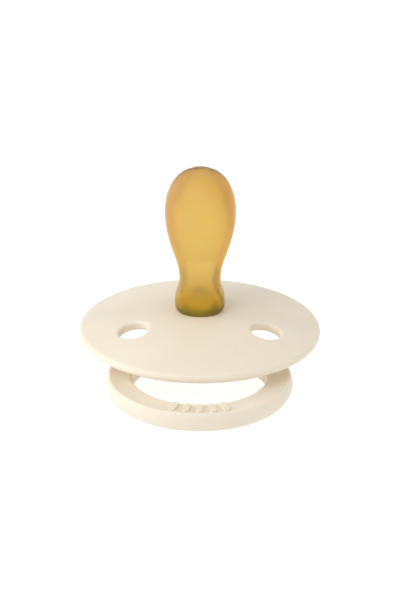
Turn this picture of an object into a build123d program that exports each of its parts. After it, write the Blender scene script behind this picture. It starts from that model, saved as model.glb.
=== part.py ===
from build123d import *
from math import asin, cos, degrees, pi, sin
import os

os.makedirs("parts", exist_ok=True)

# Pacifier, lying on the back of its knob with the nipple pointing up.
# Frame: millimetres, +Z up along the nipple. The origin is the centre of the knob's flat back face.
# The ring handle is folded flat towards -Y and hinges about an axis along X.

# ---- driving dimensions ----
shield_radius = 21.5  # a 43 mm disc, too big to pass a 42.7 mm gauge
shield_thickness = 1.7
dome_radius = 66.0  # top surface of the shield
rim_height = 6.95  # middle of the rim above the knob's back face

vent_radius = 2.6
vent_circle_radius = 13.3
vent_count = 3
vent_edge_round = 0.55

nipple_hole_radius = 3.85
nipple_length = 26.5  # above the top of the dome
latex_wall = 1.4
flange_radius = 5.3
flange_thickness = 1.4

collar_outer_radius = 6.6
collar_bore_radius = 5.5
collar_bottom = 5.4
seat_height = 9.3  # the flat face that the nipple's flange bears on

knob_radius = 7.6
knob_flat = 7.1  # half the distance across the two hinge flats
knob_flat_top = 5.0
knob_socket_floor = 5.2
knob_top = 8.5

ring_inner_radius = 11.85
ring_outer_radius = 16.3
ring_thickness = 3.7
ring_offset = 11.75  # from the hinge axis to the centre of the ring
ring_end = 7.4  # half the gap between the ring's two ends

pin_radius = 1.0
pin_clearance = 0.05
pin_tip = 4.9  # distance of the pin's tip from the middle of the knob

# The knob's socket snaps over a bead round the collar.
snap_height = 6.7
snap_depth = 0.2
snap_half_width = 0.35
snap_half_flat = 0.1
snap_clearance = 0.05

# ---- values that follow ----
hinge_height = ring_thickness / 2
middle_radius = dome_radius - shield_thickness / 2
rim_angle = asin((shield_radius - shield_thickness / 2) / middle_radius)
dome_centre = rim_height - middle_radius * cos(rim_angle)
dome_top = dome_centre + dome_radius
inner_dome_radius = dome_radius - shield_thickness
flange_bottom = seat_height - flange_thickness


def on_dome(radius, angle):
    """Point of the shield's section, at a given distance and angle from the centre of the dome."""
    return (radius * sin(angle), dome_centre + radius * cos(angle))


# ---- shield: domed disc with a full-round rim, rear collar, nipple hole and vents ----
collar_root_round = 0.6
hole_lip_round = 0.35
seat_round = 0.3
hole_angle = asin(nipple_hole_radius / dome_radius)
collar_angle = asin(collar_outer_radius / inner_dome_radius)
hole_lip = on_dome(dome_radius, hole_angle)
rim_top = on_dome(dome_radius, rim_angle)
rim_edge = (shield_radius, rim_height)
rim_bottom = on_dome(inner_dome_radius, rim_angle)
collar_root = on_dome(inner_dome_radius, collar_angle)
seat_corner = (nipple_hole_radius, seat_height)
snap_crest = collar_outer_radius + snap_depth

with BuildPart() as shield:
    with BuildSketch(Plane.XZ):
        with BuildLine():
            ThreePointArc(hole_lip, on_dome(dome_radius, (hole_angle + rim_angle) / 2), rim_top)
            ThreePointArc(rim_top, rim_edge, rim_bottom)
            under_dome = on_dome(inner_dome_radius, (collar_angle + rim_angle) / 2)
            ThreePointArc(rim_bottom, under_dome, collar_root)
            Polyline(
                collar_root,
                (collar_outer_radius, snap_height + snap_half_width),
                (snap_crest, snap_height + snap_half_flat),
                (snap_crest, snap_height - snap_half_flat),
                (collar_outer_radius, snap_height - snap_half_width),
                (collar_outer_radius, collar_bottom),
                (collar_bore_radius, collar_bottom),
                (collar_bore_radius, seat_height),
                seat_corner,
                hole_lip,
            )
        section = make_face()
        corners = section.vertices()
        fillet(corners.sort_by_distance(collar_root)[0], radius=collar_root_round)
        fillet(corners.sort_by_distance(hole_lip)[0], radius=hole_lip_round)
        fillet(corners.sort_by_distance(seat_corner)[0], radius=seat_round)
    revolve(axis=Axis.Z)

    # three vents: one straight behind the nipple and two in front of it, 120 degrees apart
    with BuildSketch(Plane.XY):
        with PolarLocations(vent_circle_radius, vent_count, start_angle=90):
            Circle(vent_radius)
    extrude(amount=dome_top, mode=Mode.SUBTRACT)
    round_edges = shield.edges().filter_by(lambda edge: edge.is_closed)
    vent_edges = round_edges.filter_by(
        lambda edge: abs(edge.length / (2 * pi * vent_radius) - 1) < 0.1
    )
    fillet(vent_edges, radius=vent_edge_round)
shield.part.label = "shield"
export_step(shield.part, "parts/shield.step")

# ---- nipple: hollow latex teat, straight where it passes the shield, with a clamped flange ----
neck_radius = nipple_hole_radius - 0.1
tip_height = dome_top + nipple_length
teat_foot = dome_top - 0.05
# Each section is an ellipse: share of the nipple's length, half its width, half its depth.
teat_shape = [
    (0.06, 4.4, 4.15),  # swollen base
    (0.23, 3.6, 3.4),  # neck
    (0.36, 4.3, 3.0),  # thinnest from front to back
    (0.50, 5.35, 3.7),  # shoulder
    (0.68, 6.15, 4.6),  # widest part of the bulb
    (0.88, 4.95, 3.75),  # crown
    (0.965, 2.9, 2.2),
]
teat_sections = [(teat_foot, neck_radius, neck_radius)]
for share, half_width, half_depth in teat_shape:
    teat_sections.append((dome_top + share * nipple_length, half_width, half_depth))

with BuildPart() as nipple:
    with BuildSketch(Plane.XY.offset(flange_bottom)):
        Circle(flange_radius)
    extrude(amount=flange_thickness)
    for inset, mode in ((0, Mode.ADD), (latex_wall, Mode.SUBTRACT)):
        with BuildSketch(Plane.XY.offset(flange_bottom)):
            Circle(neck_radius - inset)
        extrude(amount=teat_foot - flange_bottom, mode=mode)
        sections = []
        for height, half_width, half_depth in teat_sections:
            with BuildSketch(Plane.XY.offset(height), mode=Mode.PRIVATE) as section:
                Ellipse(half_width - inset, half_depth - inset)
            sections.append(section.sketch)
        sections.append(Vertex(0, 0, tip_height - inset))
        loft(sections=sections, mode=mode)
nipple.part.label = "nipple"
export_step(nipple.part, "parts/nipple.step")

# ---- nipple plug: disc that clamps the flange, and a barrel-shaped head inside the teat's base ----
plug_disc_radius = 5.4
plug_bottom = 5.8
plug_chamfer = 0.4
spigot_radius = neck_radius - latex_wall - 0.1
head_foot = dome_top + 0.1
head_middle = dome_top + 1.5
head_shoulder = dome_top + 2.8
head_top = dome_top + 3.6
head_radius = 2.6
shoulder_radius = 2.2
air_bore_radius = 0.8

with BuildPart() as nipple_plug:
    with BuildSketch(Plane.XZ):
        with BuildLine():
            Polyline(
                (spigot_radius, head_foot),
                (spigot_radius, flange_bottom),
                (plug_disc_radius, flange_bottom),
                (plug_disc_radius, plug_bottom + plug_chamfer),
                (plug_disc_radius - plug_chamfer, plug_bottom),
                (air_bore_radius, plug_bottom),
                (air_bore_radius, head_top),
            )
            barrel = ThreePointArc(
                (spigot_radius, head_foot),
                (head_radius, head_middle),
                (shoulder_radius, head_shoulder),
            )
            TangentArc(barrel @ 1, (air_bore_radius, head_top), tangent=barrel % 1)
        make_face()
    revolve(axis=Axis.Z)
nipple_plug.part.label = "nipple_plug"
export_step(nipple_plug.part, "parts/nipple_plug.step")

# ---- knob: cored cap that snaps over the collar and carries the ring ----
knob_back_round = 1.0
knob_mouth_round = 0.3
knob_core_radius = 4.2
knob_floor = 1.5
skirt_bore_radius = collar_outer_radius + snap_clearance
groove_radius = skirt_bore_radius + snap_depth
groove_half_width = snap_half_width + snap_clearance
groove_half_flat = snap_half_flat + snap_clearance
pin_socket_floor = pin_tip - 0.2
vent_bore_radius = 0.6
vent_bore_height = 3.5

with BuildPart() as knob:
    with BuildSketch(Plane.XY):
        Circle(knob_radius)
    extrude(amount=knob_top)
    fillet(knob.faces().sort_by(Axis.Z)[0].edges(), radius=knob_back_round)
    fillet(knob.faces().sort_by(Axis.Z)[-1].edges(), radius=knob_mouth_round)

    # socket for the collar, with the groove for its snap bead, and the core below it
    with BuildSketch(Plane.XZ):
        with BuildLine():
            Polyline(
                (0, knob_floor),
                (knob_core_radius, knob_floor),
                (knob_core_radius, knob_socket_floor),
                (skirt_bore_radius, knob_socket_floor),
                (skirt_bore_radius, snap_height - groove_half_width),
                (groove_radius, snap_height - groove_half_flat),
                (groove_radius, snap_height + groove_half_flat),
                (skirt_bore_radius, snap_height + groove_half_width),
                (skirt_bore_radius, knob_top),
                (0, knob_top),
                close=True,
            )
        make_face()
    revolve(axis=Axis.Z, mode=Mode.SUBTRACT)

    # a flat and a blind hinge socket on each side
    for side in (-1, 1):
        with BuildSketch(Plane.YZ.offset(side * knob_flat)):
            Rectangle(2 * knob_radius, knob_flat_top, align=(Align.CENTER, Align.MIN))
        extrude(amount=side * (knob_radius - knob_flat), mode=Mode.SUBTRACT)
        with BuildSketch(Plane.YZ.offset(side * pin_socket_floor)):
            with Locations((0, hinge_height)):
                Circle(pin_radius + pin_clearance)
        extrude(amount=side * (knob_radius - pin_socket_floor), mode=Mode.SUBTRACT)

    # air hole at the back, from the core to the outside
    with BuildSketch(Plane.XZ):
        with Locations((0, vent_bore_height)):
            Circle(vent_bore_radius)
    extrude(amount=-knob_radius, mode=Mode.SUBTRACT)
knob.part.label = "knob"
export_step(knob.part, "parts/knob.step")

# ---- ring: open ring with a dished top face and an inward pin on each end ----
lip_radius = ring_outer_radius - 0.5
foot_radius = ring_outer_radius - 1.2
belly_height = 0.55 * ring_thickness  # where the outer wall is widest
dish_depth = 0.25
ring_edge_round = 0.45
end_round = 1.3
end_round_start = 0.65
end_edge_round = 0.4
pin_root = ring_end + 1.0  # the pins start this far out, inside the ring
pin_chamfer = 0.25
ring_centre = (0, -ring_offset, 0)
ring_plane = Plane(origin=ring_centre, x_dir=(1, 0, 0), z_dir=(0, -1, 0))
face_middle = (ring_inner_radius + lip_radius) / 2

rib_count = 5
rib_pitch = 2.2
rib_length = 2.9
rib_width = 1.15
rib_rise = 0.2  # above the ring's lip
rib_root = ring_thickness - 2 * dish_depth

with BuildPart() as ring:
    with BuildSketch(ring_plane):
        with BuildLine():
            Polyline((ring_inner_radius, ring_thickness), (ring_inner_radius, 0), (foot_radius, 0))
            ThreePointArc(
                (foot_radius, 0),
                (ring_outer_radius, belly_height),
                (lip_radius, ring_thickness),
            )
            ThreePointArc(
                (lip_radius, ring_thickness),
                (face_middle, ring_thickness - dish_depth),
                (ring_inner_radius, ring_thickness),
            )
        section = make_face()
        fillet(section.vertices(), radius=ring_edge_round)
    revolve(axis=Axis(ring_centre, (0, 0, 1)))

    # the gap that the knob stands in, flared at the back to round the ends of the ring
    with BuildSketch(Plane.XY):
        Rectangle(2 * ring_end, ring_offset)
        for side in (-1, 1):
            with Locations((side * (ring_end + end_round), end_round_start)):
                Rectangle(2 * end_round, 2 * end_round, align=(Align.CENTER, Align.MIN))
                Circle(end_round, mode=Mode.SUBTRACT)
    extrude(amount=ring_thickness, mode=Mode.SUBTRACT)
    flat_ends = ring.faces().filter_by(Axis.X)
    nearest_ends = flat_ends.group_by(lambda face: round(abs(face.center().X), 2))[0]
    fillet(nearest_ends.edges(), radius=end_edge_round)

    # hinge pins
    for side in (-1, 1):
        with BuildSketch(Plane.YZ.offset(side * pin_root)):
            with Locations((0, hinge_height)):
                Circle(pin_radius)
        extrude(amount=-side * (pin_root - pin_tip))
    flat_ends = ring.faces().filter_by(Axis.X)
    pin_tips = flat_ends.group_by(lambda face: round(abs(face.center().X), 2))[0]
    chamfer(pin_tips.edges(), length=pin_chamfer)

    # a row of plain raised ribs across the front of the top face, for the fingers
    for index in range(rib_count):
        angle = (index - (rib_count - 1) / 2) * rib_pitch / face_middle
        place = (face_middle * sin(angle), -ring_offset - face_middle * cos(angle))
        with BuildSketch(Plane.XY.offset(rib_root)):
            with Locations(place):
                SlotOverall(rib_length, rib_width, rotation=90 + degrees(angle))
        extrude(amount=ring_thickness + rib_rise - rib_root)
ring.part.label = "ring"
export_step(ring.part, "parts/ring.step")
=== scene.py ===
from math import cos, pi, radians, sin

import bmesh
import bpy
from mathutils import Matrix, Vector


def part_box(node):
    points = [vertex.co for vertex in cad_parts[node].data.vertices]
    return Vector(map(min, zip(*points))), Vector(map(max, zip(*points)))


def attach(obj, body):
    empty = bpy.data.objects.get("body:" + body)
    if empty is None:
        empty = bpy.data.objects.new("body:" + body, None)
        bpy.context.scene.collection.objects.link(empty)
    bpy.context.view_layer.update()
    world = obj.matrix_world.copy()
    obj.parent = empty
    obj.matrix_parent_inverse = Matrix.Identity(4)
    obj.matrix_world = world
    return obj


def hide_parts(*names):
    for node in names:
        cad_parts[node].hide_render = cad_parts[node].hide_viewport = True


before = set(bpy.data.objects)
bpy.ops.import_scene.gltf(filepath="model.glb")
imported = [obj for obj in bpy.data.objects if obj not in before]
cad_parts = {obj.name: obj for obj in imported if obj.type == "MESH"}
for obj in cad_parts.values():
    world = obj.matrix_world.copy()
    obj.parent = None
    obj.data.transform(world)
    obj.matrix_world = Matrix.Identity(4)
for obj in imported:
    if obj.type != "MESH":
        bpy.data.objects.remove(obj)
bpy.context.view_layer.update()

MM = 0.001
scene = bpy.context.scene
scene.view_settings.view_transform = "Standard"
scene.view_settings.look = "None"

shield_low, shield_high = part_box("shield")
nipple_low, nipple_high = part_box("nipple")
dome_top = shield_high.z
tip = nipple_high.z

# ---------------------------------------------------------------- camera

PITCH = radians(23.4)
ROLL = radians(0.365)
CAMERA_DISTANCE = 0.4
FOCAL_PIXELS = 5.5562 * 400
IMAGE_HEIGHT = 601
SENSOR = 36.0
AIM_RIGHT = 0.11 * MM
AIM_UP = 11.46 * MM


def add_camera():
    """Long lens in front of the object, looking slightly down on it."""
    right = Vector((1, 0, 0))
    up = Vector((0, sin(PITCH), cos(PITCH)))
    back = Vector((0, -cos(PITCH), sin(PITCH)))
    camera_x = right * cos(ROLL) + up * sin(ROLL)
    camera_y = up * cos(ROLL) - right * sin(ROLL)
    data = bpy.data.cameras.new("camera")
    data.sensor_width = SENSOR
    data.lens = FOCAL_PIXELS * SENSOR / IMAGE_HEIGHT
    data.clip_start = 0.01
    data.clip_end = 20
    camera = bpy.data.objects.new("camera", data)
    scene.collection.objects.link(camera)
    place = AIM_RIGHT * right + AIM_UP * up + CAMERA_DISTANCE * back
    rotation = Matrix((camera_x, camera_y, back)).transposed()
    camera.matrix_world = Matrix.Translation(place) @ rotation.to_4x4()
    scene.camera = camera


add_camera()

# ---------------------------------------------------------------- lights and floor


AIM = Vector((0, 0, 0.01))
LIGHT_DISTANCE = 0.8
LIGHT_SIZE = 0.45
SKY_STRENGTH = 0.64


def add_area(name, way, power):
    """Round soft light, in the given direction from the object and turned to face it."""
    data = bpy.data.lights.new(name, "AREA")
    data.shape = "DISK"
    data.size = LIGHT_SIZE
    data.energy = power
    light = bpy.data.objects.new(name, data)
    scene.collection.objects.link(light)
    light.location = AIM + LIGHT_DISTANCE * way
    light.rotation_euler = (AIM - light.location).to_track_quat("-Z", "Y").to_euler()
    light.visible_transmission = False


# Name, degrees to the left of the camera, elevation in degrees, watts.
LIGHTS = (("key", 90, 21, 2.15), ("front", 40, 50, 1.5), ("fill", -90, 50, 0.75))

for name, azimuth, elevation, power in LIGHTS:
    turn, lift = radians(azimuth), radians(elevation)
    way = Vector((-cos(lift) * sin(turn), -cos(lift) * cos(turn), sin(lift)))
    add_area(name, way, power)

world = bpy.data.worlds.new("studio")
scene.world = world
world.use_nodes = True
background = world.node_tree.nodes["Background"]
background.inputs["Color"].default_value = (1, 1, 1, 1)
background.inputs["Strength"].default_value = SKY_STRENGTH


FLOOR_HALF = 3.0
FLOOR_GAP = 0.05 * MM
FLOOR_GREY = 0.4
FLOOR_ROUGHNESS = 0.9
FLOOR_GLOW = 0.78
FLOOR_GLOW_ON_PIECES = 0.58


def add_floor():
    """White paper that glows, a little less for the light it gives the pieces."""
    mesh = bpy.data.meshes.new("floor")
    corners = [(-1, -1), (1, -1), (1, 1), (-1, 1)]
    mesh.from_pydata([(FLOOR_HALF * x, FLOOR_HALF * y, 0) for x, y in corners], [], [(0, 1, 2, 3)])
    floor = bpy.data.objects.new("floor", mesh)
    scene.collection.objects.link(floor)
    floor.location.z = -FLOOR_GAP
    material = bpy.data.materials.new("floor_paper")
    material.use_nodes = True
    shader = material.node_tree.nodes["Principled BSDF"]
    shader.inputs["Base Color"].default_value = (FLOOR_GREY, FLOOR_GREY, FLOOR_GREY, 1)
    shader.inputs["Roughness"].default_value = FLOOR_ROUGHNESS
    shader.inputs["Emission Color"].default_value = (1, 1, 1, 1)
    tree = material.node_tree
    path = tree.nodes.new("ShaderNodeLightPath")
    glow = tree.nodes.new("ShaderNodeMapRange")
    glow.inputs["To Min"].default_value = FLOOR_GLOW
    glow.inputs["To Max"].default_value = FLOOR_GLOW_ON_PIECES
    tree.links.new(path.outputs["Is Diffuse Ray"], glow.inputs["Value"])
    tree.links.new(glow.outputs["Result"], shader.inputs["Emission Strength"])
    mesh.materials.append(material)


add_floor()

# ---------------------------------------------------------------- materials


class Nodes:
    """A short way to add and join shader nodes in one material."""

    def __init__(self, name):
        self.material = bpy.data.materials.new(name)
        self.material.use_nodes = True
        self.tree = self.material.node_tree
        self.shader = self.tree.nodes["Principled BSDF"]
        self.output = self.tree.nodes["Material Output"]
        self.coordinates = self.tree.nodes.new("ShaderNodeTexCoord").outputs["Object"]

    def join(self, source, target):
        self.tree.links.new(source, target)

    def noise(self, size, detail=2):
        """Noise whose features are about size metres across."""
        node = self.tree.nodes.new("ShaderNodeTexNoise")
        node.inputs["Scale"].default_value = 1 / size
        node.inputs["Detail"].default_value = detail
        self.join(self.coordinates, node.inputs["Vector"])
        return node.outputs["Fac"]

    def span(self, value, low, high, start=0.3, end=0.7):
        """Value from start to end, mapped onto low to high."""
        node = self.tree.nodes.new("ShaderNodeMapRange")
        node.inputs["From Min"].default_value = start
        node.inputs["From Max"].default_value = end
        node.inputs["To Min"].default_value = low
        node.inputs["To Max"].default_value = high
        self.join(value, node.inputs["Value"])
        return node.outputs["Result"]

    def rise(self, low, high):
        """0 below the low height, 1 above the high one."""
        node = self.tree.nodes.new("ShaderNodeSeparateXYZ")
        self.join(self.coordinates, node.inputs["Vector"])
        return self.span(node.outputs["Z"], 0, 1, low, high)

    def mix(self, share, first, second):
        """Blend of two colours, each one either plain or from another node."""
        node = self.tree.nodes.new("ShaderNodeMix")
        node.data_type = "RGBA"
        self.join(share, node.inputs["Factor"])
        for name, colour in (("A", first), ("B", second)):
            if isinstance(colour, tuple):
                node.inputs[name].default_value = (*colour, 1)
            else:
                self.join(colour, node.inputs[name])
        return node.outputs["Result"]

    def bump(self, height, depth, strength, below=None):
        """Normal tilted by a height of the given depth, on top of the normal below it."""
        node = self.tree.nodes.new("ShaderNodeBump")
        node.inputs["Strength"].default_value = strength
        node.inputs["Distance"].default_value = depth
        self.join(height, node.inputs["Height"])
        if below is not None:
            self.join(below, node.inputs["Normal"])
        return node.outputs["Normal"]


def moulded_plastic(name, shade, tint):
    """Moulded polypropylene: satin, with a fine eroded grain."""
    nodes = Nodes(name)
    broad = nodes.noise(9 * MM, detail=3)
    fine = nodes.noise(0.22 * MM)
    colour = nodes.mix(nodes.span(broad, 0, 1), shade, tint)
    nodes.join(colour, nodes.shader.inputs["Base Color"])
    nodes.join(nodes.span(fine, 0.42, 0.56), nodes.shader.inputs["Roughness"])
    waves = nodes.bump(broad, 0.02 * MM, 0.6)
    nodes.join(nodes.bump(fine, 0.004 * MM, 0.6, waves), nodes.shader.inputs["Normal"])
    nodes.shader.inputs["Subsurface Weight"].default_value = 0.15
    nodes.shader.inputs["Subsurface Radius"].default_value = (1.0, 0.7, 0.45)
    nodes.shader.inputs["Subsurface Scale"].default_value = 1.0 * MM
    nodes.shader.inputs["IOR"].default_value = 1.49
    return nodes.material


BASE_HEIGHT = dome_top + 3.0 * MM
NECK_HEIGHT = dome_top + 6.5 * MM


def amber_latex(name):
    """Dipped natural rubber: clear amber, deeper in colour round the teat's base."""
    nodes = Nodes(name)
    cloud = nodes.noise(3.2 * MM)
    bulb = nodes.mix(nodes.span(cloud, 0, 1), (0.98, 0.87, 0.50), (1.0, 0.91, 0.58))
    base = nodes.mix(nodes.span(cloud, 0, 1), (0.95, 0.76, 0.13), (0.98, 0.80, 0.19))
    colour = nodes.mix(nodes.rise(BASE_HEIGHT, NECK_HEIGHT), base, bulb)
    nodes.join(colour, nodes.shader.inputs["Base Color"])
    nodes.join(nodes.span(cloud, 0.32, 0.38), nodes.shader.inputs["Roughness"])
    nodes.join(nodes.bump(cloud, 0.03 * MM, 0.5), nodes.shader.inputs["Normal"])
    nodes.shader.inputs["Transmission Weight"].default_value = 0.83
    nodes.shader.inputs["IOR"].default_value = 1.2
    nodes.shader.inputs["Specular IOR Level"].default_value = 0.25
    nodes.shader.inputs["Subsurface Weight"].default_value = 1.0
    nodes.shader.inputs["Subsurface Radius"].default_value = (1.0, 0.55, 0.2)
    nodes.shader.inputs["Subsurface Scale"].default_value = 2.0 * MM
    volume = nodes.tree.nodes.new("ShaderNodeVolumeAbsorption")
    volume.inputs["Color"].default_value = (0.88, 0.68, 0.06, 1)
    volume.inputs["Density"].default_value = 560
    nodes.join(volume.outputs["Volume"], nodes.output.inputs["Volume"])
    return nodes.material


def finish_node(name, material):
    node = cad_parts[name]
    node.data.materials.clear()
    node.data.materials.append(material)


ivory = moulded_plastic("ivory_plastic", (0.850, 0.760, 0.615), (0.875, 0.790, 0.650))
for name in ("shield", "knob", "ring"):
    finish_node(name, ivory)
uncoloured = moulded_plastic("plug_plastic", (0.95, 0.92, 0.85), (0.97, 0.94, 0.88))
finish_node("nipple_plug", uncoloured)

# ---------------------------------------------------------------- nipple

SIDES = 128
NECK_WALL = 1.4 * MM
NECK_RADIUS = 3.75 * MM
FLANGE_THICKNESS = 1.4 * MM
FLANGE_RADIUS = 5.3 * MM
LIP_DEPTH = 0.48 * MM  # of the round edge of the shield's hole
flange_bottom = nipple_low.z
flange_top = flange_bottom + FLANGE_THICKNESS

# Height as a share of the way from the dome's top to the tip, half width, half depth, squareness, wall.
TEAT = [
    (-0.003, 4.00, 4.00, 2.0, 1.40),
    (0.010, 4.24, 4.16, 2.3, 1.15),
    (0.050, 4.43, 4.28, 2.6, 1.05),
    (0.110, 4.24, 4.15, 3.2, 1.05),
    (0.140, 3.97, 3.98, 3.4, 1.05),
    (0.170, 3.76, 3.78, 3.6, 1.05),
    (0.227, 3.62, 3.42, 3.8, 1.10),
    (0.300, 3.82, 3.02, 3.8, 1.05),
    (0.350, 4.17, 2.82, 3.7, 1.10),
    (0.375, 4.38, 2.80, 3.6, 1.40),
    (0.400, 4.62, 2.92, 3.5, 1.30),
    (0.450, 5.07, 3.28, 3.3, 1.30),
    (0.570, 5.90, 4.02, 3.0, 1.30),
    (0.690, 6.21, 4.52, 2.8, 1.35),
    (0.800, 5.88, 4.42, 2.7, 1.35),
    (0.900, 4.74, 3.52, 2.5, 1.35),
    (0.965, 3.06, 2.25, 2.3, 1.20),
    (0.992, 1.52, 1.14, 2.0, 0.90),
]
TIP_WALL = 1.2 * MM
SIDE_WALL_EXTRA = 0.1  # at the sides, from SIDE_WALL_SHARE of the height up
SIDE_WALL_SHARE = 0.4
LEAST_WIDTH = 0.3  # of the cavity, half of it
LEAST_DEPTH = 0.25
ROWS = 120
ROW_CROWDING = 1.6  # brings the rows closer together towards the tip


def smooth_through(table, share):
    """Catmull-Rom curve through the rows of a table whose first column rises."""
    last = len(table) - 1
    index = max(i for i in range(last) if table[i][0] <= share)
    p1, p2 = table[index], table[index + 1]
    p0, p3 = table[max(index - 1, 0)], table[min(index + 2, last)]
    t = (share - p1[0]) / (p2[0] - p1[0])
    values = []
    for k in range(1, len(p1)):
        slope1 = (p2[k] - p0[k]) / (p2[0] - p0[0]) * (p2[0] - p1[0])
        slope2 = (p3[k] - p1[k]) / (p3[0] - p1[0]) * (p2[0] - p1[0])
        values.append(
            (2 * t**3 - 3 * t**2 + 1) * p1[k]
            + (t**3 - 2 * t**2 + t) * slope1
            + (3 * t**2 - 2 * t**3) * p2[k]
            + (t**3 - t**2) * slope2
        )
    return values


def loop_of(half_width, half_depth, squareness, z):
    """Level superellipse: squareness 2 is an ellipse, more than 2 has flatter faces."""
    points = []
    for i in range(SIDES):
        angle = 2 * pi * i / SIDES
        c, s = cos(angle), sin(angle)
        reach = (abs(c) ** squareness + abs(s) ** squareness) ** (-1 / squareness)
        points.append(Vector((half_width * reach * c, half_depth * reach * s, z)))
    return points


def teat_loops(inner):
    """Loops from the foot of the teat to just under its tip, of its outside or of its cavity."""
    top = tip - TIP_WALL * inner
    loops = []
    start, end = TEAT[0][0], TEAT[-1][0]
    for row in range(ROWS + 1):
        share = start + (end - start) * (1 - (1 - row / ROWS) ** ROW_CROWDING)
        width, depth, squareness, wall = smooth_through(TEAT, min(share, end - 1e-6))
        if inner:
            swell = min(1, max(0, share / SIDE_WALL_SHARE))
            width = max(width - wall - SIDE_WALL_EXTRA * swell, LEAST_WIDTH)
            depth = max(depth - wall, LEAST_DEPTH)
        height = dome_top + share * (top - dome_top)
        loops.append(loop_of(width * MM, depth * MM, squareness, height))
    return loops


def circle(radius, z):
    return loop_of(radius, radius, 2, z)


def add_nipple():
    """Closed skin: down the outside, round the flange, and up the cavity."""
    loops = list(reversed(teat_loops(False)))
    loops += [
        circle(NECK_RADIUS, dome_top - LIP_DEPTH),
        circle(NECK_RADIUS, flange_top),
        circle(FLANGE_RADIUS, flange_top),
        circle(FLANGE_RADIUS, flange_bottom),
        circle(NECK_RADIUS - NECK_WALL, flange_bottom),
    ]
    loops += teat_loops(True)
    mesh = bpy.data.meshes.new("nipple_latex")
    build = bmesh.new()
    rings = [[build.verts.new(point) for point in loop] for loop in loops]
    for low, high in zip(rings, rings[1:]):
        for i in range(SIDES):
            j = (i + 1) % SIDES
            build.faces.new((low[i], high[i], high[j], low[j]))
    for ring, z in ((rings[0], tip), (rings[-1], tip - TIP_WALL)):
        pole = build.verts.new((0, 0, z))
        for i in range(SIDES):
            build.faces.new((ring[i], ring[(i + 1) % SIDES], pole))
    bmesh.ops.recalc_face_normals(build, faces=build.faces)
    build.to_mesh(mesh)
    build.free()
    mesh.shade_smooth()
    nipple = bpy.data.objects.new("nipple_latex", mesh)
    scene.collection.objects.link(nipple)
    mesh.materials.append(amber_latex("amber_latex"))
    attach(nipple, "mouthpiece")
    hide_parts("nipple")


add_nipple()
